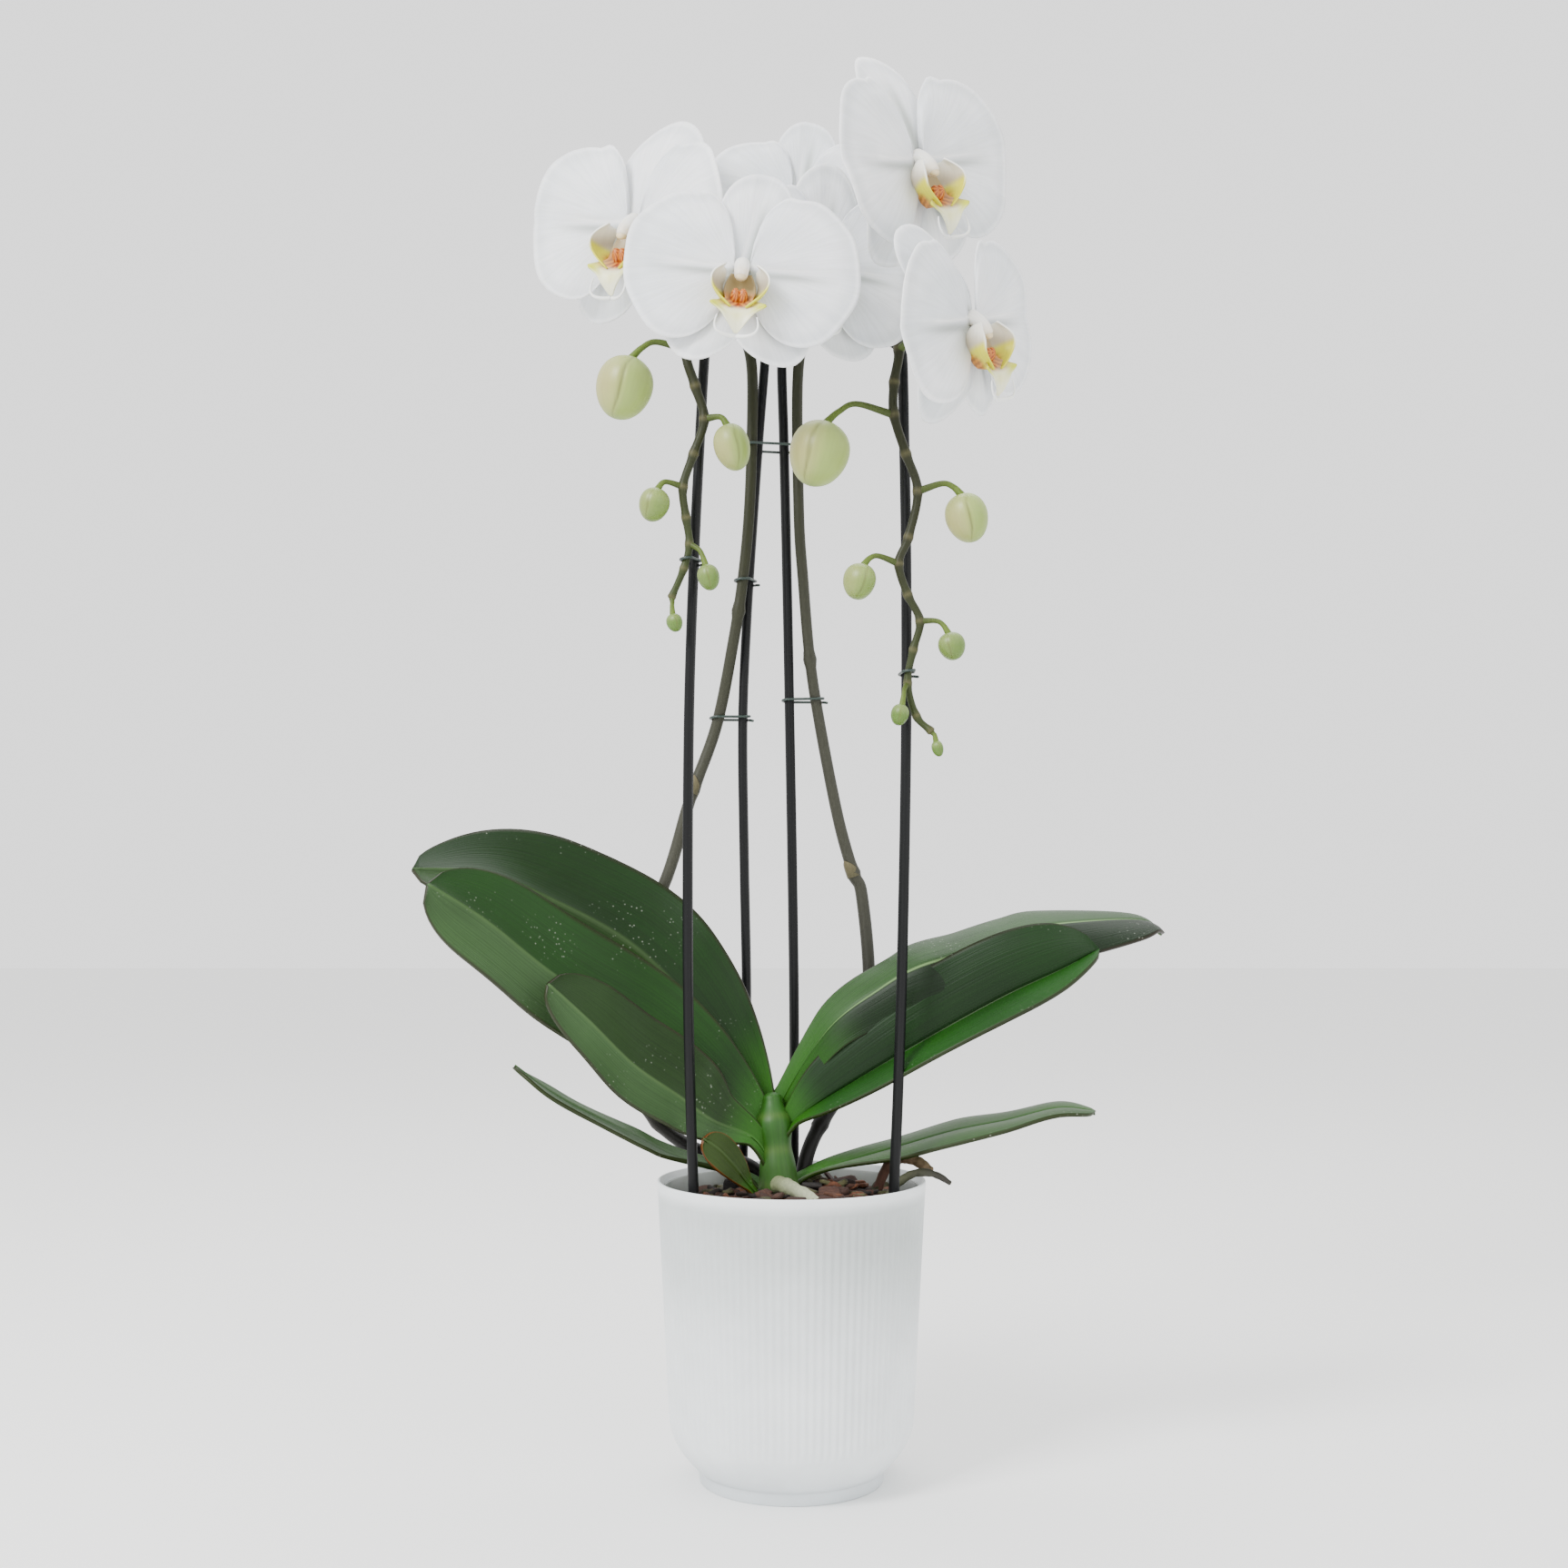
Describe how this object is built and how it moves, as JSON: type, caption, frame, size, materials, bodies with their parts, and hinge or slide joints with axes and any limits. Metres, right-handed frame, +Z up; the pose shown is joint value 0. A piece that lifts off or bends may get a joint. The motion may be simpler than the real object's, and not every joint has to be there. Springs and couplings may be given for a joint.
{
  "type": "potted orchid",
  "caption": "White moth orchid with arching flower spikes tied to hoops, strap leaves and buds, in bark in a clear grower's pot inside a frosted ribbed cover pot.",
  "frame": {"origin": "centre of the cover pot's underside, on the surface it stands on", "axes": "+Z up, -Y towards the front that the flowers face, +X to the right seen from the front"},
  "size_m": [0.3532, 0.1803, 0.6489],
  "materials": {
    "frosted_plastic": "frosted, ribbed, satin",
    "clear_plastic": "clear, slightly cloudy",
    "bark": "rough, matt chips",
    "crown_green": "smooth plant tissue, satin",
    "leaf_green": "waxy leaf, satin",
    "stem_green": "plant stem, satin",
    "stick_black": "smooth, satin",
    "clip_dark": "satin",
    "bud_green": "smooth plant tissue, satin",
    "petal_white": "soft, fine veins, matt",
    "lip_yellow": "soft plant tissue, satin",
    "column_white": "smooth plant tissue, satin",
    "root_grey_green": "matt, velvety root skin"
  },
  "bodies": {
    "root": {"cover_pot": "frosted_plastic", "grower_pot": "clear_plastic", "bark_medium": "bark", "crown_stem": "crown_green", "leaf_left_top": "leaf_green", "leaf_left_middle": "leaf_green", "leaf_left_front": "leaf_green", "leaf_left_low": "leaf_green", "leaf_right_top": "leaf_green", "leaf_right_front": "leaf_green", "leaf_right_low": "leaf_green", "leaf_basal": "leaf_green", "flower_spike_left": "stem_green", "support_hoop_left": "stick_black", "flower_spike_right": "stem_green", "support_hoop_right": "stick_black", "clip_left_low": "clip_dark", "clip_left_high": "clip_dark", "clip_right_low": "clip_dark", "clip_top": "clip_dark", "clip_left_front": "clip_dark", "clip_right_front": "clip_dark", "bud_left_1": "bud_green", "bud_left_2": "bud_green", "bud_left_3": "bud_green", "bud_left_4": "bud_green", "bud_left_5": "bud_green", "bud_right_1": "bud_green", "bud_right_2": "bud_green", "bud_right_3": "bud_green", "bud_right_4": "bud_green", "bud_right_5": "bud_green", "bud_right_6": "bud_green", "flower_1_sepals": "petal_white", "flower_1_petals": "petal_white", "flower_1_column": "column_white", "flower_1_lip": "lip_yellow", "flower_2_sepals": "petal_white", "flower_2_petals": "petal_white", "flower_2_column": "column_white", "flower_2_lip": "lip_yellow", "flower_3_sepals": "petal_white", "flower_3_petals": "petal_white", "flower_3_column": "column_white", "flower_3_lip": "lip_yellow", "flower_4_sepals": "petal_white", "flower_4_petals": "petal_white", "flower_4_column": "column_white", "flower_4_lip": "lip_yellow", "flower_5_sepals": "petal_white", "flower_5_petals": "petal_white", "flower_5_column": "column_white", "flower_5_lip": "lip_yellow", "flower_6_sepals": "petal_white", "flower_6_petals": "petal_white", "flower_6_column": "column_white", "flower_6_lip": "lip_yellow", "root_front": "root_grey_green", "root_over_rim": "root_grey_green", "root_dry": "root_grey_green"}
  },
  "joints": []
}
